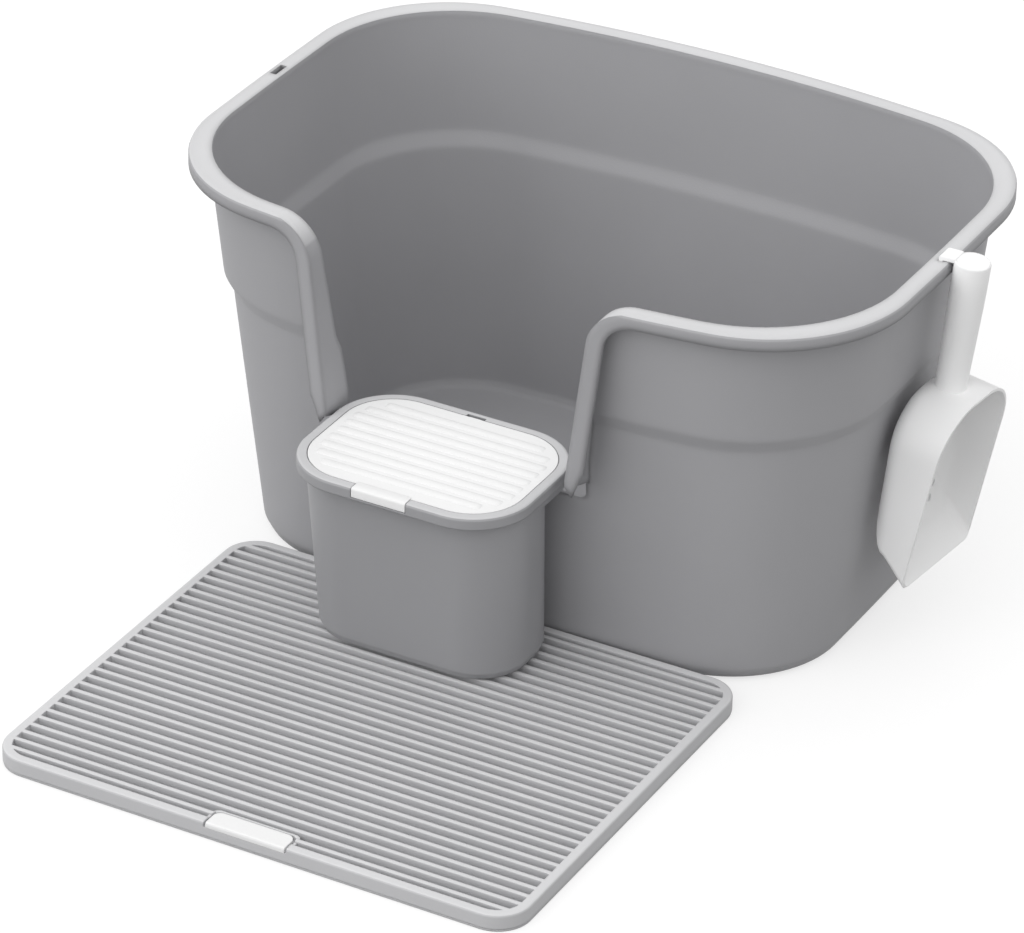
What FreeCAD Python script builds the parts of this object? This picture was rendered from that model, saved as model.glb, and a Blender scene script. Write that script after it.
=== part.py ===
import FreeCAD, Part
import math
import os

os.makedirs("parts", exist_ok=True)

# Sizes are in millimetres. The origin is the middle of the pan's flat underside:
# +X is right as seen from the entry, +Y is back, +Z is up.

# Steps in each rounded edge
round_steps = 2

# Pan: outline at the floor and at the rim, with bowed sides and round corners
pan_height = 305.0
base_half_x = 232.0
base_half_y = 152.0
base_front_radius = 3000.0
base_corner = 90.0
rim_half_x = 280.0
rim_half_y = 201.0
rim_front_radius = 1270.0
rim_corner = 113.0
side_radius = 5200.0
wall_lean = 0.11
wall_thickness = 3.0
floor_thickness = 3.0
floor_fillet = 9.0

# The soft step that runs round the wall, where the upper part stands out
step_low_z = 199.0
step_high_z = 211.0
step_out = 4.0

# Sections between the step and the floor, and between the step and the rim
wall_low_sections = 3
wall_high_sections = 1

# Rim: a flat flange with a down-turned lip
flange_thickness = 3.0
lip_depth = 10.0
lip_thickness = 3.0
rim_edge_round = 2.0

# Entry notch in the front wall, its flange and its pointed lip bands
notch_x = -16.0
notch_half_width = 97.0
notch_bend_z = 165.0
notch_flare = 0.118
notch_sill_z = 133.0
notch_sill_corner = 5.0
notch_top_corner = 32.0
notch_flange_thickness = 3.0
notch_band_width = 12.5
notch_band_taper_z = 171.0
notch_tip_z = 152.0
notch_tip_out = 5.0
notch_flange_low_z = 149.0

# Slots in the rim for the scoop's hook, left and right
slot_inset = 6.5
slot_x = rim_half_x - slot_inset
slot_width = 5.0
slot_length = 15.6
left_slot_y = 8.0
right_slot_y = -6.0

# Mat: a tray and the ribbed grate that covers it
mat_half_x = 206.5
mat_half_y = 169.0
mat_corner = 25.5
mat_height = 13.0
mat_back_gap = 4.0
tray_floor = 1.6
tray_wall = 1.8
tray_edge_inset = 0.5
tray_skirt_gap = 0.3
tray_wall_height = 4.9
skirt_thickness = 2.4
grate_thickness = 6.0
grate_edge_round = 1.5
grate_frame = 7.0
rib_pitch = 10.4
rib_width = 3.6
seat_gap = 0.3

# Lift tab in the front edge of the grate
tab_x = 0.0
tab_length = 62.0
tab_depth = 16.0
tab_thickness = 4.0
tab_corner = 6.0
tab_side_gap = 1.6

# Step bin: body, rear shelf over the entry sill, rim with a rebate for the lid
bin_x = -19.5
bin_base_half_x = 82.0
bin_base_half_y = 47.0
bin_corner = 40.0
bin_side_flare = 6.5
bin_front_flare = 10.0
bin_back_gap = 5.0
bin_wall = 2.5
bin_base_fillet = 7.0
bin_height = 146.0
bin_rim_half_x = 91.0
bin_rim_half_y = 68.5
bin_rim_corner = 47.0
bin_rim_rear_y = -137.5
bin_rim_overhang = 3.5
bin_rim_plate = 6.0
bin_rim_lip = 9.0
bin_rim_wall = 2.5
bin_rim_round = 2.0
bin_sill_gap = 9.5
lid_margin = 8.0
lid_ledge = 5.0
lid_gap = 0.5
lid_thickness = 3.0
lid_rib_pitch = 5.2
lid_rib_width = 2.2
lid_rib_height = 0.7
lid_tab_width = 43.0
lid_tab_x = -24.5
lid_tab_drop = 7.0
lid_tab_apron = 2.0
lid_tongue_width = 13.0
lid_tongue_reach = 2.2
lid_tongue_thickness = 1.7
lid_tongue_slot = 15.0

# Scoop: hangs tip down on the right slot, leaning like the pan's wall
scoop_lean = 0.109
handle_rim_gap = 0.5
handle_length = 105.0
handle_bottom_radius = 11.6
handle_top_radius = 13.0
handle_taper_length = 76.0
handle_sections = 3
handle_wall = 2.2
bore_radius = handle_bottom_radius - handle_wall
handle_edge_round = 1.2
plug_thickness = 2.0
plug_recess = 0.6
plug_fit = 0.05
plug_seat_wall = 1.4
plug_radius = handle_top_radius - plug_seat_wall
plug_low_w = handle_length - plug_thickness - plug_recess
hook_width = 14.6
hook_thickness = 3.6
hook_drop = 9.0
hook_gap = 0.4
handle_top_drop = 1.6
handle_rise = handle_length * math.cos(math.atan(scoop_lean))
scoop_axis_z = pan_height + hook_gap + hook_thickness - handle_top_drop - handle_rise
scoop_axis_x = (rim_half_x + handle_rim_gap + handle_top_radius
                - scoop_lean * (pan_height - lip_depth - scoop_axis_z))
bowl_half_width = 48.0
bowl_wall = 2.4
bowl_top_w = 3.0
bowl_tip_w = -144.0
bowl_turn = 5.0
bowl_tip_u = 12.2
bowl_mouth_u = 25.7
bowl_back_u = -20.8
bowl_back_depth = 9.0
bowl_bevel_w = -120.5
bowl_side_round = 9.0
bowl_low_round = 27.0
bowl_top_round = 13.0
bowl_shoulder = 34.0
bowl_tip_corner = 8.0
bowl_sections = 1
hole_radius = 3.2
hole_sides = 6
hole_reach = 20.0
hole_pitch = 12.0
hole_columns = 7
hole_rows = 6
hole_first_w = -115.0


def point(x, y, z):
    return FreeCAD.Vector(x, y, z)


def bowed_wire(half_x, half_y, front_radius, corner, z, centre_x=0.0, centre_y=0.0):
    """Closed outline of four bowed sides and four corner arcs that meet smoothly."""
    front_centre = half_y - front_radius
    side_centre = half_x - side_radius
    reach_front = front_radius - corner
    reach_side = side_radius - corner
    span = math.hypot(side_centre, front_centre)
    along = (reach_front ** 2 - reach_side ** 2 + span ** 2) / (2.0 * span)
    across = math.sqrt(reach_front ** 2 - along ** 2)
    step_x = side_centre / span
    step_y = -front_centre / span
    corner_x = along * step_x - across * step_y
    corner_y = front_centre + along * step_y + across * step_x
    if corner_x < 0.0 or corner_y < 0.0:
        corner_x = along * step_x + across * step_y
        corner_y = front_centre + along * step_y - across * step_x
    to_front = point(corner_x, corner_y - front_centre, 0.0).normalize()
    to_side = point(corner_x - side_centre, corner_y, 0.0).normalize()
    to_middle = (to_front + to_side).normalize()
    corner_centre = point(corner_x, corner_y, 0.0)
    front_end = corner_centre + to_front * corner
    side_end = corner_centre + to_side * corner
    corner_mid = corner_centre + to_middle * corner

    def place(spot, sign_x, sign_y):
        return point(centre_x + sign_x * spot.x, centre_y + sign_y * spot.y, z)

    side_mid = point(half_x, 0.0, 0.0)
    front_mid = point(0.0, half_y, 0.0)
    arcs = []
    for a, b, c in (
        (place(side_end, 1, -1), place(side_mid, 1, 1), place(side_end, 1, 1)),
        (place(side_end, 1, 1), place(corner_mid, 1, 1), place(front_end, 1, 1)),
        (place(front_end, 1, 1), place(front_mid, 1, 1), place(front_end, -1, 1)),
        (place(front_end, -1, 1), place(corner_mid, -1, 1), place(side_end, -1, 1)),
        (place(side_end, -1, 1), place(side_mid, -1, 1), place(side_end, -1, -1)),
        (place(side_end, -1, -1), place(corner_mid, -1, -1), place(front_end, -1, -1)),
        (place(front_end, -1, -1), place(front_mid, 1, -1), place(front_end, 1, -1)),
        (place(front_end, 1, -1), place(corner_mid, 1, -1), place(side_end, 1, -1)),
    ):
        arcs.append(Part.Arc(a, b, c).toShape())
    return Part.Wire(arcs)


def round_wire(half_x, half_y, corner, z, centre_x=0.0, centre_y=0.0):
    """Closed rectangle outline with four round corners."""
    edges = []
    diagonal = corner * math.sqrt(0.5)
    for turn in range(4):
        angle = turn * math.pi / 2.0
        reach_a, reach_b = (half_x, half_y) if turn % 2 == 0 else (half_y, half_x)
        start = point(reach_a, -(reach_b - corner), 0.0)
        end = point(reach_a, reach_b - corner, 0.0)
        middle = point(reach_a - corner + diagonal, reach_b - corner + diagonal, 0.0)
        finish = point(reach_a - corner, reach_b, 0.0)
        spots = []
        for spot in (start, end, middle, finish):
            x = spot.x * math.cos(angle) - spot.y * math.sin(angle)
            y = spot.x * math.sin(angle) + spot.y * math.cos(angle)
            spots.append(point(centre_x + x, centre_y + y, z))
        edges.append(Part.LineSegment(spots[0], spots[1]).toShape())
        edges.append(Part.Arc(spots[1], spots[2], spots[3]).toShape())
    return Part.Wire(edges)


def loft(wires):
    return Part.makeLoft(wires, True, True)


def raised(wire, height):
    return Part.Face(wire).extrude(point(0.0, 0.0, height))


def between(low, high, share):
    return low + (high - low) * share


def rounding(radius):
    """Steps of a rounded edge: how far in from the side, and how far along from the flat face."""
    steps = []
    for number in range(round_steps + 1):
        angle = number * math.pi / 2.0 / round_steps
        steps.append((radius * (1.0 - math.sin(angle)), radius * (1.0 - math.cos(angle))))
    return steps


def block(wire_at, low_z, high_z, round_low=0.0, round_high=0.0):
    """Solid between two heights, from wire_at(inset, z), with rounded lower and upper edges."""
    wires = []
    if round_low > 0.0:
        for inward, along in rounding(round_low):
            wires.append(wire_at(inward, low_z + along))
    else:
        wires.append(wire_at(0.0, low_z))
    if round_high > 0.0:
        for inward, along in reversed(rounding(round_high)):
            wires.append(wire_at(inward, high_z - along))
    else:
        wires.append(wire_at(0.0, high_z))
    return loft(wires)


# Pan: the wall between the floor outline and the rim, then the rim and the entry notch


def wall_wire(z, out, inset):
    """Outline of the leaning wall at height z, moved out by the step and in by the inset."""
    share = z / pan_height
    bow = (1.0 - share) / base_front_radius + share / rim_front_radius
    grow = wall_lean * z + out - inset
    corner = base_corner + (rim_corner - base_corner) * share - inset
    return bowed_wire(base_half_x + grow, base_half_y + grow, 1.0 / bow - inset, corner, z)


def wall_solid(low_z, high_z, inset, round_low):
    wires = []
    for inward, along in rounding(round_low):
        wires.append(wall_wire(low_z + along, 0.0, inset + inward))
    for number in range(1, wall_low_sections):
        z = between(low_z + round_low, step_low_z, number / wall_low_sections)
        wires.append(wall_wire(z, 0.0, inset))
    wires.append(wall_wire(step_low_z, 0.0, inset))
    wires.append(wall_wire(step_high_z, step_out, inset))
    for number in range(1, wall_high_sections + 1):
        z = between(step_high_z, high_z, number / wall_high_sections)
        wires.append(wall_wire(z, step_out, inset))
    return loft(wires)


def rim_block(low_z, high_z, inset, round_high=0.0):
    def rim_wire(inward, z):
        all_in = inset + inward
        return bowed_wire(rim_half_x - all_in, rim_half_y - all_in, rim_front_radius - all_in,
                          rim_corner - all_in, z)

    return block(rim_wire, low_z, high_z, 0.0, round_high)


def notch_prism(side_out, top_out, low_z, low_corner):
    """Prism along Y with the notch's profile, moved out at the sides and down at the rim."""
    top_z = pan_height - top_out
    above_z = pan_height + 20.0
    corner = notch_top_corner - top_out
    slant = math.hypot(1.0, notch_flare)
    half_low = notch_half_width + side_out
    centre_z = top_z - corner
    centre_x = half_low + notch_flare * (centre_z - notch_bend_z) + corner * slant
    line_end = (centre_x - corner / slant, centre_z + corner * notch_flare / slant)
    aim = point(-1.0 / slant, 0.0, notch_flare / slant) + point(0.0, 0.0, 1.0)
    aim.normalize()
    arc_mid = (centre_x + corner * aim.x, centre_z + corner * aim.z)
    arc_end = (centre_x, top_z)
    bite = low_corner * (1.0 - math.sqrt(0.5))

    def place(spot, sign):
        return point(notch_x + sign * spot[0], 0.0, spot[1])

    edges = []
    for sign in (1, -1):
        side_low = place((half_low, low_z + low_corner), sign)
        bend = place((half_low, notch_bend_z), sign)
        edges.append(Part.LineSegment(side_low, bend).toShape())
        edges.append(Part.LineSegment(bend, place(line_end, sign)).toShape())
        edges.append(Part.Arc(place(line_end, sign), place(arc_mid, sign), place(arc_end, sign)).toShape())
        edges.append(Part.LineSegment(place(arc_end, sign), place((centre_x, above_z), sign)).toShape())
        if low_corner > 0.0:
            foot = place((half_low - low_corner, low_z), sign)
            turn = place((half_low - bite, low_z + bite), sign)
            edges.append(Part.Arc(foot, turn, side_low).toShape())
    edges.append(Part.LineSegment(place((centre_x, above_z), 1), place((centre_x, above_z), -1)).toShape())
    foot_x = half_low - low_corner
    edges.append(Part.LineSegment(place((foot_x, low_z), 1), place((foot_x, low_z), -1)).toShape())
    face = Part.Face(Part.Wire(Part.__sortEdges__(edges)))
    reach = rim_half_y + 20.0
    return face.extrude(point(0.0, -reach, 0.0))


def notch_band_keep():
    """Prism along Y that keeps the lip bands above their pointed lower ends."""
    reach = rim_half_y + 20.0
    keep = None
    above_z = pan_height + 10.0
    far = rim_half_x
    inner = notch_half_width - 2.0
    tip = notch_half_width + notch_tip_out
    outer = notch_half_width + notch_band_width
    rise = notch_tip_out * 1.6
    for sign in (1, -1):
        spots = [(inner, above_z), (inner, notch_tip_z + rise), (notch_half_width, notch_tip_z + rise),
                 (tip, notch_tip_z), (outer, notch_band_taper_z), (far, notch_band_taper_z), (far, above_z)]
        corners = [point(notch_x + sign * x, 0.0, z) for x, z in spots]
        prism = Part.Face(Part.makePolygon(corners + corners[:1])).extrude(point(0.0, -reach, 0.0))
        keep = prism if keep is None else keep.fuse(prism)
    return keep


def notch_flange_cut():
    """Wedge along X that slopes the notch flange's lower end back to the wall."""
    front = -(rim_half_y + 20.0)
    wall_front = -(base_half_y + wall_lean * notch_flange_low_z)
    low = 60.0
    spots = [(front, low), (0.0, low), (0.0, notch_flange_low_z), (wall_front, notch_flange_low_z),
             (-rim_half_y, notch_tip_z + notch_tip_out * 1.6), (front, notch_tip_z + notch_tip_out * 1.6)]
    corners = [point(-rim_half_x, y, z) for y, z in spots]
    face = Part.Face(Part.makePolygon(corners + corners[:1]))
    return face.extrude(point(2.0 * rim_half_x, 0.0, 0.0))


def make_pan():
    outer = wall_solid(0.0, pan_height - flange_thickness / 2.0, 0.0, floor_fillet)
    inner = wall_solid(floor_thickness, pan_height + 10.0, wall_thickness, floor_fillet - wall_thickness)
    flange_z = pan_height - flange_thickness
    lip_z = pan_height - lip_depth
    column_z = notch_tip_z - 10.0
    column = rim_block(column_z, pan_height, 0.0, rim_edge_round)
    slab = Part.makeBox(1000.0, 1000.0, lip_depth, point(-500.0, -500.0, lip_z))
    rim = column.common(slab).cut(rim_block(lip_z - 1.0, flange_z, lip_thickness))

    opening = notch_prism(0.0, 0.0, notch_sill_z, notch_sill_corner)
    plain_opening = notch_prism(0.0, 0.0, column_z - 5.0, 0.0)
    flange_ring = notch_prism(notch_flange_thickness, flange_thickness, column_z - 5.0, 0.0)
    flange_ring = flange_ring.cut(plain_opening).common(column).cut(notch_flange_cut())
    band = notch_prism(notch_band_width, lip_depth, column_z - 5.0, 0.0).cut(plain_opening)
    shell = column.cut(rim_block(column_z - 5.0, flange_z, lip_thickness))
    band = band.common(shell).common(notch_band_keep())

    pan = outer.fuse([rim, flange_ring, band]).cut(inner).cut(opening)
    for side, slot_y in ((-1, left_slot_y), (1, right_slot_y)):
        corner = point(side * slot_x - slot_width / 2.0, slot_y - slot_length / 2.0, flange_z - 1.0)
        pan = pan.cut(Part.makeBox(slot_width, slot_length, flange_thickness + 2.0, corner))
    return pan.removeSplitter()


# Mat: tray, grate and lift tab

mat_y = -(base_half_y + mat_back_gap + mat_half_y)
mat_front_y = mat_y - mat_half_y


def mat_block(inset, low_z, high_z, round_high=0.0):
    def mat_wire(inward, z):
        all_in = inset + inward
        return round_wire(mat_half_x - all_in, mat_half_y - all_in, mat_corner - all_in, z, 0.0, mat_y)

    return block(mat_wire, low_z, high_z, 0.0, round_high)


def make_tray():
    wall_inset = skirt_thickness + seat_gap + tray_skirt_gap
    floor = mat_block(tray_edge_inset, 0.0, tray_floor)
    wall_top = tray_floor + tray_wall_height
    wall = mat_block(wall_inset, 0.0, wall_top)
    wall = wall.cut(mat_block(wall_inset + tray_wall, tray_floor, wall_top + 1.0))
    return floor.fuse(wall).removeSplitter()


def tab_box(gap):
    """Block of the lift tab, or of its recess, with round inner corners."""
    half = tab_length / 2.0 + gap
    depth = tab_depth + gap
    spots_z = mat_height - tab_thickness
    plate = Part.makeBox(2.0 * half, depth + 5.0, tab_thickness + 5.0,
                         point(tab_x - half, mat_front_y - 5.0, spots_z))
    back = mat_front_y + depth
    uprights = []
    for edge in plate.Edges:
        box = edge.BoundBox
        if box.ZLength > tab_thickness and abs(box.YMin - back) < 0.01:
            uprights.append(edge)
    return plate.makeFillet(tab_corner, uprights)


def make_grate():
    low_z = tray_floor + seat_gap
    grate = mat_block(0.0, low_z, mat_height, grate_edge_round)
    grate = grate.cut(mat_block(skirt_thickness, low_z - 1.0, mat_height - grate_thickness))
    field = mat_block(grate_frame, mat_height - grate_thickness - 1.0, mat_height + 1.0)
    slot_count = int(math.ceil(2.0 * (mat_half_y - grate_frame) / rib_pitch))
    slots = []
    for number in range(slot_count):
        slot_y = mat_y + (number - (slot_count - 1) / 2.0) * rib_pitch
        low = point(-mat_half_x, slot_y - (rib_pitch - rib_width) / 2.0, mat_height - grate_thickness - 0.5)
        slots.append(Part.makeBox(2.0 * mat_half_x, rib_pitch - rib_width, grate_thickness + 1.0, low))
    tab_frame = tab_box(rib_width).translated(point(0.0, 0.0, -grate_thickness))
    tab_frame = tab_frame.common(mat_block(0.0, 0.0, mat_height + 5.0))
    openings = Part.makeCompound(slots).common(field).cut(tab_frame)
    return grate.cut(openings).cut(tab_box(tab_side_gap))


def make_tab():
    return mat_block(0.0, tray_floor + seat_gap, mat_height, grate_edge_round).common(tab_box(0.0))


# Step bin and its lid

bin_base_z = mat_height + seat_gap
bin_top_z = bin_base_z + bin_height
bin_back_y = -(base_half_y + wall_lean * bin_base_z) - bin_back_gap
bin_rim_y = bin_rim_rear_y - bin_rim_half_y
shelf_z = notch_sill_z + bin_sill_gap


def bin_wire(inset, z, back_y):
    """Outline of the bin's wall at height z, flaring to the front and sides, with its back at back_y."""
    share = (z - bin_base_z) / bin_height
    front_y = bin_back_y - 2.0 * bin_base_half_y - bin_front_flare * share + inset
    half_x = bin_base_half_x + bin_side_flare * share - inset
    return round_wire(half_x, (back_y - front_y) / 2.0, bin_corner - inset, z,
                      bin_x, (front_y + back_y) / 2.0)


def bin_body(inset, low_z, high_z, round_low):
    """Lower part of the bin, with its back parallel to the pan's wall."""
    def body_wire(inward, z):
        all_in = inset + inward
        return bin_wire(all_in, z, bin_back_y - wall_lean * (z - bin_base_z) - all_in)

    return block(body_wire, low_z, high_z, round_low)


def bin_rim_block(inset, low_z, high_z, round_high=0.0):
    def rim_wire(inward, z):
        all_in = inset + inward
        return round_wire(bin_rim_half_x - all_in, bin_rim_half_y - all_in, bin_rim_corner - all_in, z,
                          bin_x, bin_rim_y)

    return block(rim_wire, low_z, high_z, 0.0, round_high)


def bin_shelf_block(inset, low_z, high_z):
    """Upper part of the bin, which reaches back over the sill of the entry."""
    back_y = bin_rim_rear_y - bin_rim_overhang - inset
    return loft([bin_wire(inset, low_z, back_y), bin_wire(inset, high_z, back_y)])


def make_bin():
    rim_low_z = bin_top_z - bin_rim_lip
    plate_z = bin_top_z - bin_rim_plate
    hollow_z = shelf_z + bin_wall
    body = bin_body(0.0, bin_base_z, shelf_z, bin_base_fillet)
    body_hollow = bin_body(bin_wall, bin_base_z + bin_wall, hollow_z, bin_base_fillet - bin_wall)
    shelf = bin_shelf_block(0.0, shelf_z, plate_z + bin_rim_plate / 2.0)
    shelf_hollow = bin_shelf_block(bin_wall, hollow_z, plate_z)
    rim = bin_rim_block(0.0, rim_low_z, bin_top_z, bin_rim_round)
    rim = rim.cut(bin_rim_block(bin_rim_wall, rim_low_z - 1.0, plate_z))
    shell = body.fuse([shelf, rim]).cut([body_hollow, shelf_hollow])
    rebate = bin_rim_block(lid_margin - lid_gap, bin_top_z - lid_thickness, bin_top_z + 5.0)
    mouth = bin_rim_block(lid_margin + lid_ledge, plate_z - 1.0, bin_top_z + 5.0)
    half_tab = lid_tab_width / 2.0 + lid_gap
    front_y = bin_rim_y - bin_rim_half_y
    tab_notch = Part.makeBox(2.0 * half_tab, lid_margin + 6.0, lid_thickness + 5.0,
                             point(lid_tab_x - half_tab, front_y - 5.0, bin_top_z - lid_thickness))
    apron_notch = Part.makeBox(2.0 * half_tab, 5.0 + lid_tab_apron + lid_gap, lid_tab_drop + lid_gap + 5.0,
                               point(lid_tab_x - half_tab, front_y - 5.0, bin_top_z - lid_tab_drop - lid_gap))
    tongue_hole = Part.makeBox(lid_tongue_slot, lid_tongue_reach + 1.5, bin_rim_plate + 6.0,
                               point(bin_x - lid_tongue_slot / 2.0, bin_rim_rear_y - lid_margin - lid_gap,
                                     plate_z - 1.0))
    return shell.cut([rebate, mouth, tab_notch, apron_notch, tongue_hole]).removeSplitter()


def make_lid():
    low_z = bin_top_z - lid_thickness + seat_gap
    plate = bin_rim_block(lid_margin, low_z, bin_top_z)
    ribs = []
    rib_field = bin_rim_block(lid_margin + 3.0, bin_top_z - 0.5, bin_top_z + lid_rib_height)
    rib_count = int((2.0 * (bin_rim_half_y - lid_margin - 3.0)) / lid_rib_pitch)
    for number in range(rib_count):
        rib_y = bin_rim_y + (number - (rib_count - 1) / 2.0) * lid_rib_pitch
        low = point(bin_x - bin_rim_half_x, rib_y - lid_rib_width / 2.0, bin_top_z - 0.5)
        ribs.append(Part.makeBox(2.0 * bin_rim_half_x, lid_rib_width, lid_rib_height + 0.5, low))
    ribs = Part.makeCompound(ribs).common(rib_field)
    front_y = bin_rim_y - bin_rim_half_y
    tab_low_x = lid_tab_x - lid_tab_width / 2.0
    tab = Part.makeBox(lid_tab_width, lid_margin + 3.0, lid_thickness - seat_gap,
                       point(tab_low_x, front_y, low_z))
    apron = Part.makeBox(lid_tab_width, lid_tab_apron, lid_tab_drop,
                         point(tab_low_x, front_y, bin_top_z - lid_tab_drop))
    tongue = Part.makeBox(lid_tongue_width, lid_tongue_reach + 3.0, lid_tongue_thickness,
                          point(bin_x - lid_tongue_width / 2.0, bin_rim_rear_y - lid_margin - 3.0,
                                bin_top_z - lid_tongue_thickness))
    return plate.fuse(ribs.Solids + [tab, apron, tongue]).removeSplitter()


# Scoop, built in its own frame: u away from the pan, v along Y, w up the handle


def hang(shape):
    placed = shape.copy()
    placed.rotate(point(0.0, 0.0, 0.0), point(0.0, 1.0, 0.0), math.degrees(math.atan(scoop_lean)))
    placed.translate(point(scoop_axis_x, right_slot_y, scoop_axis_z))
    return placed


def bowl_wire(u, half, low_w, top_w, foot, shoulder):
    """Outline of the bowl across its depth: round shoulders at the handle, cut corners at the tip."""
    turn = 1.0 - math.sqrt(0.5)
    spots = [
        point(u, -half + foot, low_w), point(u, half - foot, low_w),
        point(u, half - foot * turn, low_w + foot * turn), point(u, half, low_w + foot),
        point(u, half, top_w - shoulder), point(u, half - shoulder * turn, top_w - shoulder * turn),
        point(u, half - shoulder, top_w), point(u, -half + shoulder, top_w),
        point(u, -half + shoulder * turn, top_w - shoulder * turn), point(u, -half, top_w - shoulder),
        point(u, -half, low_w + foot), point(u, -half + foot * turn, low_w + foot * turn),
    ]
    edges = []
    for first, last in ((0, 4), (6, 7), (9, 12)):
        for number in range(first, last):
            edges.append(Part.LineSegment(spots[number], spots[(number + 1) % 12]).toShape())
        if last < 12:
            edges.append(Part.Arc(spots[last], spots[last + 1], spots[last + 2]).toShape())
    return Part.Wire(edges)


def bowl_form(inset):
    """Bowl as sections across its depth: a rounded back, straight sides and a bevelled tip."""
    wires = []
    for number in range(round_steps + 1):
        angle = number * math.pi / 2.0 / round_steps
        inward = 1.0 - math.sin(angle)
        u = bowl_back_u + inset + (bowl_back_depth - inset) * (1.0 - math.cos(angle))
        half = bowl_half_width - inset - bowl_side_round * inward
        low_w = bowl_bevel_w + inset + bowl_low_round * inward
        top_w = bowl_top_w - inset - bowl_top_round * inward
        wires.append(bowl_wire(u, half, low_w, top_w, bowl_tip_corner, bowl_shoulder - inset))
    bevel_u = bowl_back_u + bowl_back_depth
    bevel_slope = (bowl_tip_w - bowl_bevel_w) / (bowl_tip_u - bevel_u)
    for number in range(1, bowl_sections + 1):
        u = between(bevel_u, bowl_mouth_u + 5.0, number / bowl_sections)
        low_w = bowl_bevel_w + inset + bevel_slope * (u - bevel_u)
        wires.append(bowl_wire(u, bowl_half_width - inset, low_w, bowl_top_w - inset, bowl_tip_corner,
                               bowl_shoulder - inset))
    return loft(wires)


def bowl_mouth_cut():
    """Wedge that trims the bowl to its slanted mouth."""
    far = bowl_mouth_u + 60.0
    rise = (bowl_mouth_u - bowl_tip_u) / (bowl_top_w - bowl_tip_w)
    low_w = bowl_tip_w - 40.0
    high_w = bowl_top_w + 20.0
    half = bowl_half_width + 20.0
    corners = [point(bowl_tip_u + rise * (low_w - bowl_tip_w), -half, low_w), point(far, -half, low_w),
               point(far, -half, high_w), point(bowl_tip_u + rise * (high_w - bowl_tip_w), -half, high_w)]
    face = Part.Face(Part.makePolygon(corners + corners[:1]))
    return face.extrude(point(0.0, 2.0 * half, 0.0))


def make_bowl():
    bowl = bowl_form(0.0).cut(bowl_form(bowl_wall)).cut(bowl_mouth_cut())
    drills = []
    for column in range(hole_columns):
        v = (column - (hole_columns - 1) / 2.0) * hole_pitch
        for row in range(hole_rows):
            w = hole_first_w + row * hole_pitch + (hole_pitch / 2.0 if column % 2 else 0.0)
            corners = []
            for side in range(hole_sides + 1):
                angle = (side + 0.5) * 2.0 * math.pi / hole_sides
                corners.append(point(bowl_back_u - 5.0, v + hole_radius * math.cos(angle),
                                     w + hole_radius * math.sin(angle)))
            drills.append(Part.Face(Part.makePolygon(corners)).extrude(point(hole_reach, 0.0, 0.0)))
    return bowl.cut(drills)


def turned(spots):
    """Solid turned about the handle's axis from a half section of (radius, w) corners."""
    corners = [point(r, 0.0, w) for r, w in spots]
    face = Part.Face(Part.makePolygon(corners + corners[:1]))
    return face.revolve(point(0.0, 0.0, 0.0), point(0.0, 0.0, 1.0), 360.0)


def make_handle():
    """Handle that widens up to the taper's end and is straight above it."""
    taper = [(0.0, 0.0)]
    for number in range(handle_sections + 1):
        share = number / handle_sections
        widening = math.sin(share * math.pi / 2.0)
        taper.append((between(handle_bottom_radius, handle_top_radius, widening), handle_taper_length * share))
    taper.append((0.0, handle_taper_length))
    edge_z = handle_length - handle_edge_round
    grip = [(0.0, handle_taper_length), (handle_top_radius, handle_taper_length), (handle_top_radius, edge_z),
            (handle_top_radius - handle_edge_round, handle_length), (0.0, handle_length)]
    return turned(taper).toNurbs().fuse(turned(grip))


def make_scoop():
    bowl = make_bowl()
    bowl.rotate(point(0.0, 0.0, 0.0), point(0.0, 0.0, 1.0), -bowl_turn)
    bore = Part.makeCylinder(bore_radius, handle_length, point(0.0, 0.0, bowl_top_w + handle_wall))
    seat = Part.makeCylinder(plug_radius, handle_length, point(0.0, 0.0, plug_low_w))
    scoop = hang(bowl.fuse(make_handle()).cut([bore, seat]))
    return scoop.fuse(make_hook()).removeSplitter()


def make_hook():
    """Level plate over the rim, with a tongue that leans like the handle down into the slot."""
    plate_z = pan_height + hook_gap
    top_z = plate_z + hook_thickness
    tip_z = plate_z - hook_drop
    inner_x = slot_x - hook_thickness / 2.0
    outer_x = inner_x + hook_thickness
    tip_shift = scoop_lean * (pan_height - tip_z)
    handle_x = scoop_axis_x + scoop_lean * handle_length - handle_top_radius + 2.0
    spots = [(inner_x, top_z), (inner_x, plate_z), (inner_x - tip_shift, tip_z),
             (outer_x - tip_shift, tip_z), (outer_x, plate_z), (handle_x, plate_z), (handle_x, top_z)]
    low_y = right_slot_y - hook_width / 2.0
    corners = [point(x, low_y, z) for x, z in spots]
    face = Part.Face(Part.makePolygon(corners + corners[:1]))
    return face.extrude(point(0.0, hook_width, 0.0))


def make_plug():
    return hang(Part.makeCylinder(plug_radius - plug_fit, plug_thickness, point(0.0, 0.0, plug_low_w)))


pan = make_pan()
pan.exportStep("parts/pan.step")

mat_tray = make_tray()
mat_tray.exportStep("parts/mat_tray.step")

mat_grate = make_grate()
mat_grate.exportStep("parts/mat_grate.step")

mat_lift_tab = make_tab()
mat_lift_tab.exportStep("parts/mat_lift_tab.step")

step_bin = make_bin()
step_bin.exportStep("parts/step_bin.step")

bin_lid = make_lid()
bin_lid.exportStep("parts/bin_lid.step")

scoop = make_scoop()
scoop.exportStep("parts/scoop.step")

scoop_end_plug = make_plug()
scoop_end_plug.exportStep("parts/scoop_end_plug.step")
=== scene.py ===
import math

import bmesh
import bpy
from mathutils import Matrix, Vector


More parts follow.
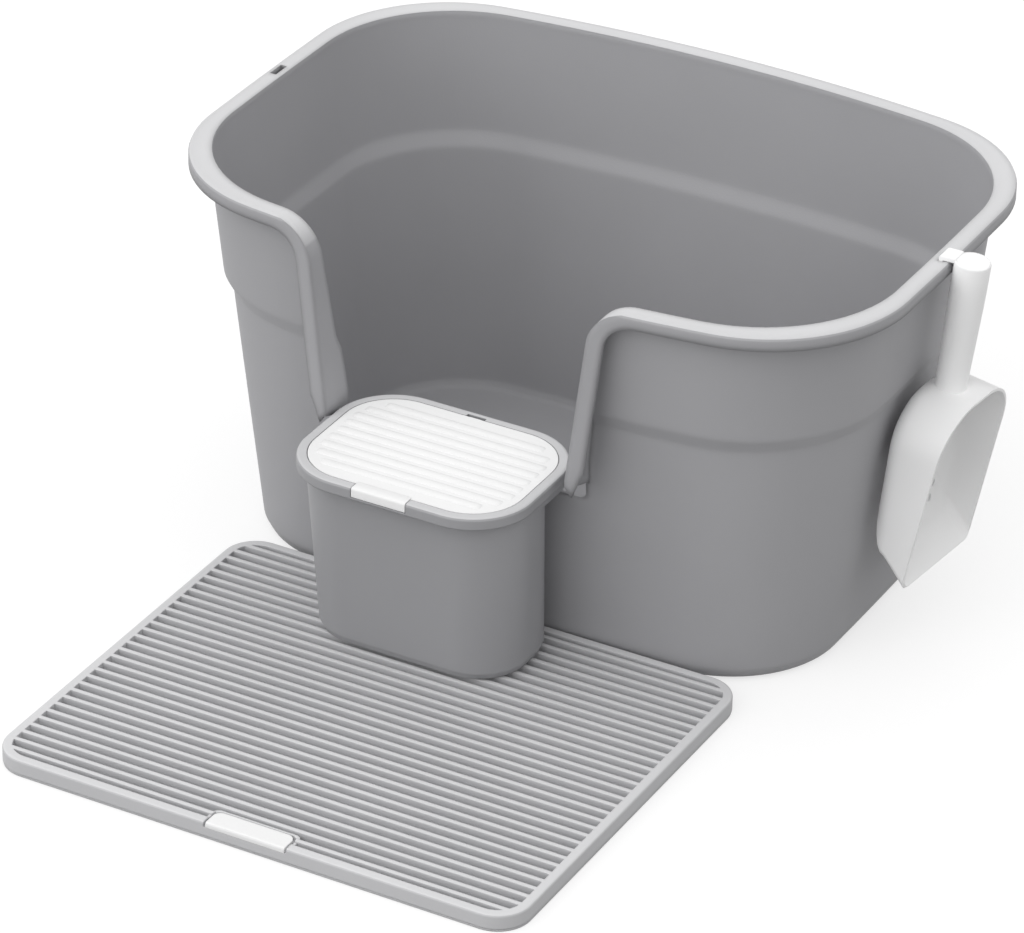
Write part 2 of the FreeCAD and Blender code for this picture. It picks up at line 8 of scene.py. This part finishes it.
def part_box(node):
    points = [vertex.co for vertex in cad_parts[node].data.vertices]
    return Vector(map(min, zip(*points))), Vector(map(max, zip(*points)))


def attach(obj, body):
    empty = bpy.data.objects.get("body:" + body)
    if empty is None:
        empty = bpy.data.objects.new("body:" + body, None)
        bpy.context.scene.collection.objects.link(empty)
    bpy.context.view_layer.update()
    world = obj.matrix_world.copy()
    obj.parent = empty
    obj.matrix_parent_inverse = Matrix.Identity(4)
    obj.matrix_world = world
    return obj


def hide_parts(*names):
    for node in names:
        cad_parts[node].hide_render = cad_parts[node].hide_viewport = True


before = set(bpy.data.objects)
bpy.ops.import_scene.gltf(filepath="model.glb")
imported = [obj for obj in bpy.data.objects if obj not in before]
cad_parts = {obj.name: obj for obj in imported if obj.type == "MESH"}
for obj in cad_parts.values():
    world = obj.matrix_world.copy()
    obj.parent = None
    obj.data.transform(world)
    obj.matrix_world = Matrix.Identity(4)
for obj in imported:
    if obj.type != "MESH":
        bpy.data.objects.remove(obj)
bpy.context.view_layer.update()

scene = bpy.context.scene
scene.view_settings.view_transform = "Standard"

# Camera: angles in radians, lengths in metres, focal length in pixels of the picture
camera_azimuth = 0.4967
camera_elevation = 0.5272
camera_roll = 0.0184
camera_focal_pixels = 5676.0
camera_distance = 4.2032
camera_right = 0.059
camera_up = -0.0455
picture_width = 1024.0
sensor_width = 36.0
nearest_seen = 0.1
farthest_seen = 50.0


def make_camera():
    """Camera that aims at the middle of the pan's base, then moves across its own plane."""
    away = Vector((math.sin(camera_azimuth) * math.cos(camera_elevation),
                   -math.cos(camera_azimuth) * math.cos(camera_elevation),
                   math.sin(camera_elevation)))
    forward = -away
    right = forward.cross(Vector((0.0, 0.0, 1.0))).normalized()
    up = right.cross(forward).normalized()
    x_axis = math.cos(camera_roll) * right + math.sin(camera_roll) * up
    y_axis = -math.sin(camera_roll) * right + math.cos(camera_roll) * up
    place = away * camera_distance - camera_right * x_axis - camera_up * y_axis
    data = bpy.data.cameras.new("camera")
    data.sensor_width = sensor_width
    data.sensor_fit = "HORIZONTAL"
    data.lens = camera_focal_pixels * sensor_width / picture_width
    data.clip_start = nearest_seen
    data.clip_end = farthest_seen
    camera = bpy.data.objects.new("camera", data)
    scene.collection.objects.link(camera)
    turn = Matrix((x_axis, y_axis, -forward)).transposed()
    camera.matrix_world = Matrix.Translation(place) @ turn.to_4x4()
    scene.camera = camera


# Shader nodes, with the numbers of the color mix node's sockets
first_color = 6
second_color = 7
mixed_color = 2


def open_tree(owner):
    """Nodes and links of a material or world."""
    owner.use_nodes = True
    return owner.node_tree.nodes, owner.node_tree.links


def map_range(nodes, links, value, from_ends, to_ends):
    """Node that carries a value over from one range to another."""
    node = nodes.new("ShaderNodeMapRange")
    for side, ends in (("From", from_ends), ("To", to_ends)):
        node.inputs[side + " Min"].default_value = ends[0]
        node.inputs[side + " Max"].default_value = ends[1]
    links.new(value, node.inputs["Value"])
    return node


def combine(nodes, links, operation, first, second):
    """Result of a calculation with two values."""
    node = nodes.new("ShaderNodeMath")
    node.operation = operation
    links.new(first, node.inputs[0])
    links.new(second, node.inputs[1])
    return node.outputs[0]


def height_part(nodes, links, vector):
    """The Z value of a vector."""
    node = nodes.new("ShaderNodeSeparateXYZ")
    links.new(vector, node.inputs[0])
    return node.outputs["Z"]


def color_mix(nodes, blend):
    node = nodes.new("ShaderNodeMix")
    node.data_type = "RGBA"
    node.blend_type = blend
    return node


def seen_by(nodes, links, first_ray, second_ray):
    """One where a ray is of either kind, else zero."""
    path = nodes.new("ShaderNodeLightPath")
    return combine(nodes, links, "MAXIMUM", path.outputs[first_ray], path.outputs[second_ray])


# Light: a room that is brighter overhead, and two soft lamps
horizon_strength = 0.50
zenith_strength = 1.20
lamp_softness = 0.9
lamps = {
    "lamp_left": ((1.0, 0.6, -0.5), 0.42),
    "lamp_front": ((0.1, 1.0, -0.6), 0.62),
}
floor_color = 0.35
floor_glow = 0.68
floor_reach = 12.0
floor_z = -0.0004


def make_world():
    """Room that the camera sees as plain white and that lights the object from all sides."""
    world = bpy.data.worlds.new("room")
    scene.world = world
    nodes, links = open_tree(world)
    nodes.clear()
    seen = seen_by(nodes, links, "Is Camera Ray", "Is Transmission Ray")
    direction = nodes.new("ShaderNodeTexCoord")
    height = height_part(nodes, links, direction.outputs["Generated"])
    room = map_range(nodes, links, height, (0.0, 1.0), (horizon_strength, zenith_strength))
    strength = map_range(nodes, links, seen, (0.0, 1.0), (0.0, 1.0))
    links.new(room.outputs["Result"], strength.inputs["To Min"])
    background = nodes.new("ShaderNodeBackground")
    background.inputs["Color"].default_value = (1.0, 1.0, 1.0, 1.0)
    links.new(strength.outputs["Result"], background.inputs["Strength"])
    output = nodes.new("ShaderNodeOutputWorld")
    links.new(background.outputs[0], output.inputs["Surface"])


def make_lamp(name, direction, strength):
    data = bpy.data.lights.new(name, "SUN")
    data.energy = strength
    data.angle = lamp_softness
    lamp = bpy.data.objects.new(name, data)
    lamp.rotation_mode = "QUATERNION"
    lamp.rotation_quaternion = Vector(direction).to_track_quat("-Z", "Y")
    scene.collection.objects.link(lamp)


def floor_material():
    """Pale surface that takes a shadow, with a glow that lifts it to white where it is seen."""
    material = bpy.data.materials.new("floor_white")
    nodes, links = open_tree(material)
    nodes.clear()
    diffuse = nodes.new("ShaderNodeBsdfDiffuse")
    diffuse.inputs["Color"].default_value = (floor_color, floor_color, floor_color, 1.0)
    seen = seen_by(nodes, links, "Is Camera Ray", "Is Glossy Ray")
    amount = map_range(nodes, links, seen, (0.0, 1.0), (0.0, floor_glow))
    glow = nodes.new("ShaderNodeEmission")
    links.new(amount.outputs["Result"], glow.inputs["Strength"])
    both = nodes.new("ShaderNodeAddShader")
    links.new(diffuse.outputs[0], both.inputs[0])
    links.new(glow.outputs[0], both.inputs[1])
    output = nodes.new("ShaderNodeOutputMaterial")
    links.new(both.outputs[0], output.inputs["Surface"])
    return material


def make_floor():
    mesh = bpy.data.meshes.new("floor")
    corners = [(side_x * floor_reach, side_y * floor_reach, floor_z)
               for side_x, side_y in ((-1, -1), (1, -1), (1, 1), (-1, 1))]
    mesh.from_pydata(corners, [], [(0, 1, 2, 3)])
    mesh.materials.append(floor_material())
    floor = bpy.data.objects.new("floor", mesh)
    scene.collection.objects.link(floor)


# Plastic: lengths in metres. Upward faces can get a paler top, which is painted light from
# overhead; of its two values below, the first is the upward part of the normal at which it begins
# and is full, and the second the height over which it comes in.
plastic_ior = 1.48
cloud_scale = 9.0
cloud_detail = 4.0
cloud_ends = (0.3, 0.7)
roughness_spread = 0.06
grain_scale = 900.0
grain_detail = 2.0
grain_depth = 0.0003
painted_top_facing = (0.25, 0.9)
painted_top_fade = 0.002
edge_samples = 8


def noise(nodes, links, place, scale, detail):
    node = nodes.new("ShaderNodeTexNoise")
    node.inputs["Scale"].default_value = scale
    node.inputs["Detail"].default_value = detail
    links.new(place, node.inputs["Vector"])
    return node.outputs["Fac"]


def painted_top_light(nodes, links, place, color, painted_top_color, top_z):
    """Painted top light: color that turns into a paler top color on upward faces above top_z."""
    geometry = nodes.new("ShaderNodeNewGeometry")
    upward = height_part(nodes, links, geometry.outputs["Normal"])
    facing = map_range(nodes, links, upward, painted_top_facing, (0.0, 1.0))
    height = height_part(nodes, links, place)
    high = map_range(nodes, links, height, (top_z - painted_top_fade, top_z), (0.0, 1.0))
    both = combine(nodes, links, "MULTIPLY", facing.outputs["Result"], high.outputs["Result"])
    mix = color_mix(nodes, "MIX")
    mix.inputs[first_color].default_value = (*color, 1.0)
    mix.inputs[second_color].default_value = (*painted_top_color, 1.0)
    links.new(both, mix.inputs["Factor"])
    return mix.outputs[mixed_color]


def grained_normal(nodes, links, place, grain, edge):
    """Normal with a fine moulded grain, and with edges rounded over the radius edge."""
    soft_edge = nodes.new("ShaderNodeBevel")
    soft_edge.samples = edge_samples
    soft_edge.inputs["Radius"].default_value = edge
    bump = nodes.new("ShaderNodeBump")
    bump.inputs["Strength"].default_value = grain
    bump.inputs["Distance"].default_value = grain_depth
    links.new(noise(nodes, links, place, grain_scale, grain_detail), bump.inputs["Height"])
    links.new(soft_edge.outputs["Normal"], bump.inputs["Normal"])
    return bump.outputs["Normal"]


def plastic(name, color, roughness, grain, mottle, edge, painted_top_color=None, top_z=0.0):
    """Moulded plastic: fine grain, faint mottling, and, with a top color, a painted top light."""
    material = bpy.data.materials.new(name)
    nodes, links = open_tree(material)
    place = nodes.new("ShaderNodeTexCoord").outputs["Object"]
    cloud = noise(nodes, links, place, cloud_scale, cloud_detail)
    tint = map_range(nodes, links, cloud, cloud_ends, (1.0 - mottle, 1.0 + mottle))
    shade = color_mix(nodes, "MULTIPLY")
    shade.inputs["Factor"].default_value = 1.0
    if painted_top_color is None:
        shade.inputs[first_color].default_value = (*color, 1.0)
    else:
        # Paler upward faces: painted light from overhead.
        painted_top_mix = painted_top_light(nodes, links, place, color, painted_top_color, top_z)
        links.new(painted_top_mix, shade.inputs[first_color])
    links.new(tint.outputs["Result"], shade.inputs[second_color])
    rough = map_range(nodes, links, cloud, (0.0, 1.0),
                      (roughness - roughness_spread, roughness + roughness_spread))
    shader = nodes["Principled BSDF"]
    shader.inputs["IOR"].default_value = plastic_ior
    links.new(shade.outputs[mixed_color], shader.inputs["Base Color"])
    links.new(rough.outputs["Result"], shader.inputs["Roughness"])
    links.new(grained_normal(nodes, links, place, grain, edge), shader.inputs["Normal"])
    return material


def coat(node, material):
    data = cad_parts[node].data
    data.materials.clear()
    data.materials.append(material)


# Pieces made here: sizes in millimetres, turned into metres when a mesh is made
millimetre = 0.001
smooth_up_to = 35.0
bevel_from = 50.0
bevel_segments = 2


def between(first, last, share):
    return first + (last - first) * share


def arc(middle, radius, start, turn, steps):
    """Points along an arc in a plane, from one end to the other, with angles in degrees."""
    spots = []
    for step in range(steps + 1):
        angle = math.radians(start + turn * step / steps)
        spots.append((middle[0] + radius * math.cos(angle), middle[1] + radius * math.sin(angle)))
    return spots


def circle(middle, radius, steps):
    return arc(middle, radius, 0.0, 360.0, steps)[:-1]


def round_outline(half_x, half_y, corner, corner_steps):
    """Rounded rectangle around the origin, counter-clockwise."""
    spots = []
    for quarter, (side_x, side_y) in enumerate(((1, 1), (-1, 1), (-1, -1), (1, -1))):
        middle = (side_x * (half_x - corner), side_y * (half_y - corner))
        spots += arc(middle, corner, 90.0 * quarter, 90.0, corner_steps)
    return spots


def skin(rings, closed=True):
    """Points and faces of a surface through rings of equally many points.

    The first ring is shut with a face, and if closed is set the last one too.
    """
    count = len(rings[0])
    points = [spot for ring in rings for spot in ring]
    faces = []
    for row in range(len(rings) - 1):
        for number in range(count):
            after = (number + 1) % count
            faces.append((row * count + number, row * count + after,
                          (row + 1) * count + after, (row + 1) * count + number))
    faces.append(tuple(reversed(range(count))))
    if closed:
        faces.append(tuple(range((len(rings) - 1) * count, len(rings) * count)))
    return points, faces


def make_mesh(name, skins, sharp_from=smooth_up_to):
    """Object from one or more skins, smooth apart from edges sharper than sharp_from degrees."""
    points = []
    faces = []
    for skin_points, skin_faces in skins:
        first = len(points)
        points += [Vector(spot) * millimetre for spot in skin_points]
        faces += [tuple(first + number for number in face) for face in skin_faces]
    mesh = bpy.data.meshes.new(name)
    mesh.from_pydata(points, [], faces)
    shape = bmesh.new()
    shape.from_mesh(mesh)
    bmesh.ops.recalc_face_normals(shape, faces=shape.faces)
    shape.to_mesh(mesh)
    shape.free()
    mesh.shade_smooth()
    mesh.set_sharp_from_angle(angle=math.radians(sharp_from))
    piece = bpy.data.objects.new(name, mesh)
    scene.collection.objects.link(piece)
    return piece


def soften_edges(piece, width):
    bevel = piece.modifiers.new("edges", "BEVEL")
    bevel.width = width * millimetre
    bevel.segments = bevel_segments
    bevel.limit_method = "ANGLE"
    bevel.angle_limit = math.radians(bevel_from)
    bevel.harden_normals = True


def finish_piece(piece, material, body):
    piece.data.materials.append(material)
    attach(piece, body)


# Bin lid: a plate in the rim's rebate
lid_corner = 39.0
lid_corner_steps = 14
lid_plate_depth = 2.7
lid_edge = 0.5

# Ribs of the lid: low arches with their feet sunk into the plate. They run out at both ends, where
# lid_rib_ends pairs the distance from the end with the share of the rise.
lid_rib_rise = 0.7
lid_rib_pitch = 11.4
lid_rib_width = 7.4
lid_rib_margin = 6.0
lid_rib_ends = ((0.0, 0.1), (0.8, 0.65), (3.0, 1.0))
lid_rib_end_width = 0.6
lid_rib_sink = 0.05
lid_rib_root = 0.5
lid_rib_root_half = lid_rib_width / 2.2
lid_rib_clear = lid_rib_width / 3.0
lid_rib_arch_steps = 10

# Front tab of the lid: over the rim and down its outside
lid_tab_reach = 8.0
lid_tab_width = 43.0
lid_tab_x = -24.5
lid_tab_thickness = 2.0
lid_tab_round = 1.8
lid_tab_round_steps = 5
lid_tab_rise = 0.3
lid_tab_flat_end = 1.5
lid_tab_overlap = 2.5
lid_tab_sink = 0.2

# Rear tongue of the lid
lid_tongue_width = 11.0
lid_tongue_half_depth = 1.8
lid_tongue_corner = 1.0
lid_tongue_corner_steps = 4
lid_tongue_inset = 1.0
lid_tongue_reach = 2.2
lid_tongue_low = 1.7
lid_tongue_high = 0.3


def lid_rib(middle_x, y, half_length, top_z):
    """One rib along X, on the plate's top."""
    arch = arc((0.0, 0.0), 1.0, 0.0, 180.0, lid_rib_arch_steps)
    ends = [(inset - half_length, rise) for inset, rise in lid_rib_ends]
    ends += [(half_length - inset, rise) for inset, rise in reversed(lid_rib_ends)]
    rings = []
    for along, rise in ends:
        x = middle_x + along
        half_width = lid_rib_width / 2.0 * between(lid_rib_end_width, 1.0, rise)
        height = (lid_rib_rise + lid_rib_sink) * rise
        ring = [(x, y + half_width * side, top_z - lid_rib_sink + height * up) for side, up in arch]
        ring.append((x, y - lid_rib_root_half, top_z - lid_rib_root))
        ring.append((x, y + lid_rib_root_half, top_z - lid_rib_root))
        rings.append(ring)
    return skin(rings)


def lid_ribs(middle_x, middle_y, half_x, half_y, top_z):
    """Ribs that fill the plate up to a margin that follows its round corners."""
    field_x = half_x - lid_rib_margin
    field_y = half_y - lid_rib_margin
    field_corner = lid_corner - lid_rib_margin
    count = int((2.0 * field_y - lid_rib_width) / lid_rib_pitch) + 1
    ribs = []
    for number in range(count):
        y = (number - (count - 1) / 2.0) * lid_rib_pitch
        beyond = max(0.0, abs(y) + lid_rib_clear - (field_y - field_corner))
        corner_reach = math.sqrt(max(0.0, field_corner ** 2 - beyond ** 2))
        half_length = field_x - field_corner + corner_reach
        ribs.append(lid_rib(middle_x, middle_y + y, half_length, top_z))
    return ribs


def lid_tab(front_y, low_z, top_z):
    """Front tab, a profile in Y and Z drawn out along X."""
    tab_z = top_z + lid_tab_rise
    inner_y = front_y + lid_tab_thickness
    plate_low_z = top_z - lid_plate_depth
    rear_y = front_y + lid_tab_reach
    round_middle = (front_y + lid_tab_round, tab_z - lid_tab_round)
    profile = [(rear_y + lid_tab_overlap, plate_low_z), (inner_y, plate_low_z), (inner_y, low_z),
               (front_y, low_z)]
    profile += arc(round_middle, lid_tab_round, 180.0, -90.0, lid_tab_round_steps)
    profile.append((rear_y + lid_tab_flat_end, tab_z))
    profile.append((rear_y + lid_tab_overlap, top_z - lid_tab_sink))
    ends = (lid_tab_x - lid_tab_width / 2.0, lid_tab_x + lid_tab_width / 2.0)
    return skin([[(x, y, z) for y, z in profile] for x in ends])


def layered(middle_x, middle_y, outline, heights):
    """Skin of an outline that is drawn out between two heights."""
    return skin([[(middle_x + x, middle_y + y, z) for x, y in outline] for z in heights])


def make_lid(material):
    low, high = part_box("bin_lid")
    low, high = low / millimetre, high / millimetre
    middle_x = (low.x + high.x) / 2.0
    half_x = (high.x - low.x) / 2.0
    back_y = high.y - lid_tongue_reach
    half_y = (back_y - low.y - lid_tab_reach) / 2.0
    middle_y = back_y - half_y
    top_z = high.z - lid_rib_rise
    plate = layered(middle_x, middle_y, round_outline(half_x, half_y, lid_corner, lid_corner_steps),
                    (top_z - lid_plate_depth, top_z))
    tongue_outline = round_outline(lid_tongue_width / 2.0, lid_tongue_half_depth, lid_tongue_corner,
                                   lid_tongue_corner_steps)
    tongue = layered(middle_x, back_y - lid_tongue_inset, tongue_outline,
                     (top_z - lid_tongue_low, top_z - lid_tongue_high))
    ribs = lid_ribs(middle_x, middle_y, half_x, half_y, top_z)
    lid = make_mesh("lid_ribbed", [plate, *ribs, lid_tab(low.y, low.z, top_z), tongue])
    soften_edges(lid, lid_edge)
    finish_piece(lid, material, "lid")
    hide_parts("bin_lid")


# Scoop: frame of u away from the pan, v along the wall and w up the handle, from the handle's foot
scoop_lean = 0.109
lean_angle = math.atan(scoop_lean)
plug_low, plug_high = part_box("scoop_end_plug")
plug_middle = (plug_low + plug_high) / 2.0 / millimetre
plug_middle_w = 103.4

# Bowl: a back that rounds into the side wall, and a wall that ends at a slanting mouth
bowl_turn = -5.0
bowl_wall = 2.2
bowl_edge = 0.6
bowl_half_width = 48.0
bowl_back_u = -20.8
bowl_back_depth = 14.0
bowl_top_w = 3.0
bowl_low_w = -125.8
bowl_tip_w = -144.0
bowl_tip_u = 12.2
bowl_mouth_u = 25.7
bowl_shoulder = 38.0
bowl_foot = 9.0
bowl_corner_steps = 12
bowl_back_steps = 7
bowl_wall_steps = 5
bowl_sharp_skin = 60.0
bowl_sharp_drilled = 40.0

# How much smaller the flat of the bowl's back is than the wall, at each side
bowl_side_round = 15.0
bowl_low_round = 36.0
bowl_top_round = 14.0
bowl_shoulder_round = 8.0
bowl_foot_round = 14.0

# Holes in the bowl's back, in staggered rows
hole_radius = 3.2
hole_sides = 16
hole_pitch = 10.5
hole_row_pitch = 0.87 * hole_pitch
hole_row_shift = 0.25 * hole_pitch
hole_rows = 7
hole_columns = 7
hole_low_w = -113.0
drill_behind = 5.0
drill_before = 12.0


def scoop_spot(u, v, w, turn=0.0):
    """Place in the shared frame, in millimetres, of a point in the scoop's own frame.

    The point is first turned about the handle's axis, by turn in degrees.
    """
    turn_angle = math.radians(turn)
    across = u * math.cos(turn_angle) - v * math.sin(turn_angle)
    along = u * math.sin(turn_angle) + v * math.cos(turn_angle)
    up = w - plug_middle_w
    return (plug_middle.x + across * math.cos(lean_angle) + up * math.sin(lean_angle),
            plug_middle.y + along,
            plug_middle.z - across * math.sin(lean_angle) + up * math.cos(lean_angle))


def bowl_ring(base_u, share, half_width, low_w, top_w, shoulder, foot):
    """Outline of the bowl: round shoulders at the handle and small corners at the tip.

    It lies at base_u, or by share further on towards the slanting mouth.
    """
    foot_v = half_width - foot
    foot_w = low_w + foot
    shoulder_v = half_width - shoulder
    shoulder_w = top_w - shoulder
    outline = arc((foot_v, foot_w), foot, -90.0, 90.0, bowl_corner_steps)
    outline += arc((shoulder_v, shoulder_w), shoulder, 0.0, 90.0, bowl_corner_steps)
    outline += arc((-shoulder_v, shoulder_w), shoulder, 90.0, 90.0, bowl_corner_steps)
    outline += arc((-foot_v, foot_w), foot, 180.0, 90.0, bowl_corner_steps)
    ring = []
    for v, w in outline:
        mouth_share = (w - bowl_tip_w) / (bowl_top_w - bowl_tip_w)
        mouth_u = between(bowl_tip_u, bowl_mouth_u, mouth_share)
        ring.append(scoop_spot(between(base_u, mouth_u, share), v, w, bowl_turn))
    return ring


def bowl_skin():
    """Outer face of the bowl, open at its mouth."""
    rings = []
    for step in range(bowl_back_steps + 1):
        angle = math.pi / 2.0 * step / bowl_back_steps
        inward = 1.0 - math.sin(angle)
        u = bowl_back_u + bowl_back_depth * (1.0 - math.cos(angle))
        rings.append(bowl_ring(u, 0.0, bowl_half_width - bowl_side_round * inward,
                               bowl_low_w + bowl_low_round * inward,
                               bowl_top_w - bowl_top_round * inward,
                               bowl_shoulder - bowl_shoulder_round * inward,
                               bowl_foot + bowl_foot_round * inward))
    wall_u = bowl_back_u + bowl_back_depth
    for step in range(1, bowl_wall_steps + 1):
        share = step / bowl_wall_steps
        rings.append(bowl_ring(wall_u, share, bowl_half_width, between(bowl_low_w, bowl_tip_w, share),
                               bowl_top_w, bowl_shoulder, bowl_foot))
    return skin(rings, closed=False)


def hole_drills():
    """Round rods that stand where the bowl's back has its holes."""
    drills = []
    ends = (bowl_back_u - drill_behind, bowl_back_u + drill_before)
    for row in range(hole_rows):
        shift = hole_row_shift if row % 2 else -hole_row_shift
        w = hole_low_w + row * hole_row_pitch
        for column in range(hole_columns):
            v = (column - (hole_columns - 1) / 2.0) * hole_pitch + shift
            outline = circle((v, w), hole_radius, hole_sides)
            drills.append(skin([[scoop_spot(u, spot_v, spot_w, bowl_turn) for spot_v, spot_w in outline]
                                for u in ends]))
    return drills


def make_bowl(material):
    bowl = make_mesh("scoop_bowl", [bowl_skin()], bowl_sharp_skin)
    wall = bowl.modifiers.new("wall", "SOLIDIFY")
    wall.thickness = bowl_wall * millimetre
    wall.offset = -1.0
    wall.use_even_offset = True
    drill = make_mesh("scoop_drill", hole_drills())
    holes = bowl.modifiers.new("holes", "BOOLEAN")
    holes.operation = "DIFFERENCE"
    holes.solver = "EXACT"
    holes.object = drill
    bpy.context.view_layer.update()
    view = bpy.context.evaluated_depsgraph_get()
    drilled = bpy.data.meshes.new_from_object(bowl.evaluated_get(view))
    bowl.modifiers.clear()
    bowl.data = drilled
    drilled.shade_smooth()
    drilled.set_sharp_from_angle(angle=math.radians(bowl_sharp_drilled))
    bpy.data.objects.remove(drill)
    soften_edges(bowl, bowl_edge)
    finish_piece(bowl, material, "scoop")
    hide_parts("scoop")


# Handle: radius and place of each ring, with a soft shoulder and a seat for the end plug
handle_sides = 64
handle_rings = ((11.6, 0.9), (11.7, 20.0), (12.3, 45.0), (12.9, 70.0), (13.0, 84.0), (13.0, 103.4),
                (12.65, 104.4), (11.9, 104.9), (11.62, 104.4), (11.6, 102.4))

# Hook: a plate over the pan's rim, and a leaning tongue down through the slot
hook_width = 14.6
hook_thickness = 3.6
hook_round = 2.4
hook_round_steps = 5
hook_top_z = 309.0
hook_slot_x = 273.5
hook_drop = 9.0
hook_lean = 0.10416
hook_handle_x = 284.5
hook_edge = 0.7


def make_handle(material):
    rings = []
    for radius, w in handle_rings:
        rings.append([scoop_spot(u, v, w) for u, v in circle((0.0, 0.0), radius, handle_sides)])
    handle = make_mesh("scoop_handle", [skin(rings)])
    finish_piece(handle, material, "scoop")


def make_hook(material):
    """Hook, a profile in X and Z drawn out along Y."""
    plate_z = hook_top_z - hook_thickness
    tip_z = plate_z - hook_drop
    inner_x = hook_slot_x - hook_thickness / 2.0
    outer_x = hook_slot_x + hook_thickness / 2.0
    shift = hook_lean * hook_drop
    profile = arc((inner_x + hook_round, hook_top_z - hook_round), hook_round, 180.0, -90.0,
                  hook_round_steps)
    profile += [(hook_handle_x, hook_top_z), (hook_handle_x, plate_z), (outer_x, plate_z),
                (outer_x - shift, tip_z), (inner_x - shift, tip_z)]
    ends = (plug_middle.y - hook_width / 2.0, plug_middle.y + hook_width / 2.0)
    hook = make_mesh("scoop_hook", [skin([[(x, y, z) for x, z in profile] for y in ends])])
    soften_edges(hook, hook_edge)
    finish_piece(hook, material, "scoop")


make_camera()
make_world()
for name, (direction, strength) in lamps.items():
    make_lamp(name, direction, strength)
make_floor()

# The top colors are painted light: paler rims, rib tops and upward faces stand in for overhead light.
pan_grey = plastic("pan_grey", color=(0.375, 0.374, 0.388), roughness=0.55, grain=0.25,
                   mottle=0.02, edge=0.008, painted_top_color=(0.64, 0.64, 0.65), top_z=0.290)
bin_grey = plastic("bin_grey", color=(0.325, 0.325, 0.337), roughness=0.50, grain=0.20,
                   mottle=0.02, edge=0.0015, painted_top_color=(0.57, 0.57, 0.58), top_z=0.156)
mat_grey = plastic("mat_grey", color=(0.55, 0.55, 0.562), roughness=0.55, grain=0.20,
                   mottle=0.02, edge=0.0015, painted_top_color=(0.66, 0.66, 0.67), top_z=0.012)
white = plastic("white", color=(0.86, 0.86, 0.86), roughness=0.40, grain=0.10,
                mottle=0.01, edge=0.0008)
# A paler copy of the white plastic: painted light that stands in for light the scoop's sides do not
# get.
scoop_painted_bright_white = plastic("scoop_painted_bright_white", color=(0.95, 0.95, 0.95), roughness=0.40, grain=0.10,
                      mottle=0.01, edge=0.0008)

coat("pan", pan_grey)
coat("step_bin", bin_grey)
coat("mat_tray", mat_grey)
coat("mat_grate", mat_grey)
coat("mat_lift_tab", white)
coat("scoop_end_plug", scoop_painted_bright_white)
make_lid(white)
make_bowl(scoop_painted_bright_white)
make_handle(scoop_painted_bright_white)
make_hook(scoop_painted_bright_white)
